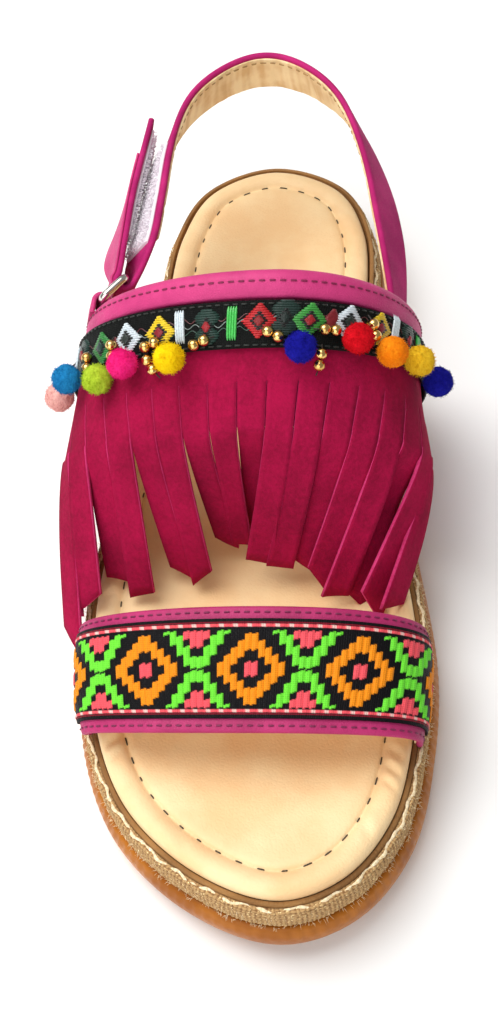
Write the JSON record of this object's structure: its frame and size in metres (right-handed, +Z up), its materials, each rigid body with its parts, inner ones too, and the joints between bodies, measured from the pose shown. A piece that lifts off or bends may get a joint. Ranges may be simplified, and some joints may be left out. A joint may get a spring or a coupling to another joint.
{
  "type": "sandal",
  "caption": "Child's right-foot flat sandal: fringed instep strap with braid, pompoms and beads, ribboned toe strap, and a heel strap that folds back through a wire ring.",
  "frame": {"origin": "middle of the sandal's box at floor height", "axes": "+Z up, -Y towards the toe, +X towards the medial side of this right shoe"},
  "size_m": [0.0922, 0.2092, 0.0778],
  "materials": {
    "caramel_rubber": "glossy caramel moulded rubber",
    "brown_board": "dark brown board edge",
    "jute": "woven jute band",
    "cream_leather": "soft cream lining leather",
    "pink_leather": "smooth magenta-pink leather",
    "black_ribbon": "black woven trimming ground",
    "magenta_suede": "napped crimson-magenta suede",
    "steel": "polished wire",
    "hook_tape": "pale fastening tape",
    "gold": "shiny gold bead",
    "pale_pink": "felt",
    "sky_blue": "felt",
    "lime": "felt",
    "hot_pink": "felt",
    "yellow": "felt",
    "royal_blue": "felt",
    "red": "felt",
    "orange": "felt",
    "mustard": "felt"
  },
  "bodies": {
    "root": {"outsole": "caramel_rubber", "midsole": "brown_board", "jute_band": "jute", "insole": "cream_leather", "toe_strap": "pink_leather", "toe_ribbon": "black_ribbon", "instep_and_heel_strap": "pink_leather", "instep_binding": "pink_leather", "braid_tape": "black_ribbon", "fringe": "magenta_suede", "ring": "steel", "ring_tab": "pink_leather", "hook_pad": "hook_tape", "loop_pad": "hook_tape", "pompom_01": "pale_pink", "pompom_02": "sky_blue", "pompom_03": "lime", "pompom_04": "hot_pink", "pompom_05": "yellow", "pompom_06": "royal_blue", "pompom_07": "red", "pompom_08": "orange", "pompom_09": "mustard", "pompom_10": "royal_blue", "bead_pair_01": "gold", "bead_pair_02": "gold", "bead_pair_03": "gold", "bead_pair_04": "gold", "bead_pair_05": "gold", "bead_pair_06": "gold", "bead_pair_07": "gold", "bead_pair_08": "gold", "bead_pair_09": "gold", "bead_pair_10": "gold", "bead_pair_11": "gold"}
  },
  "joints": []
}
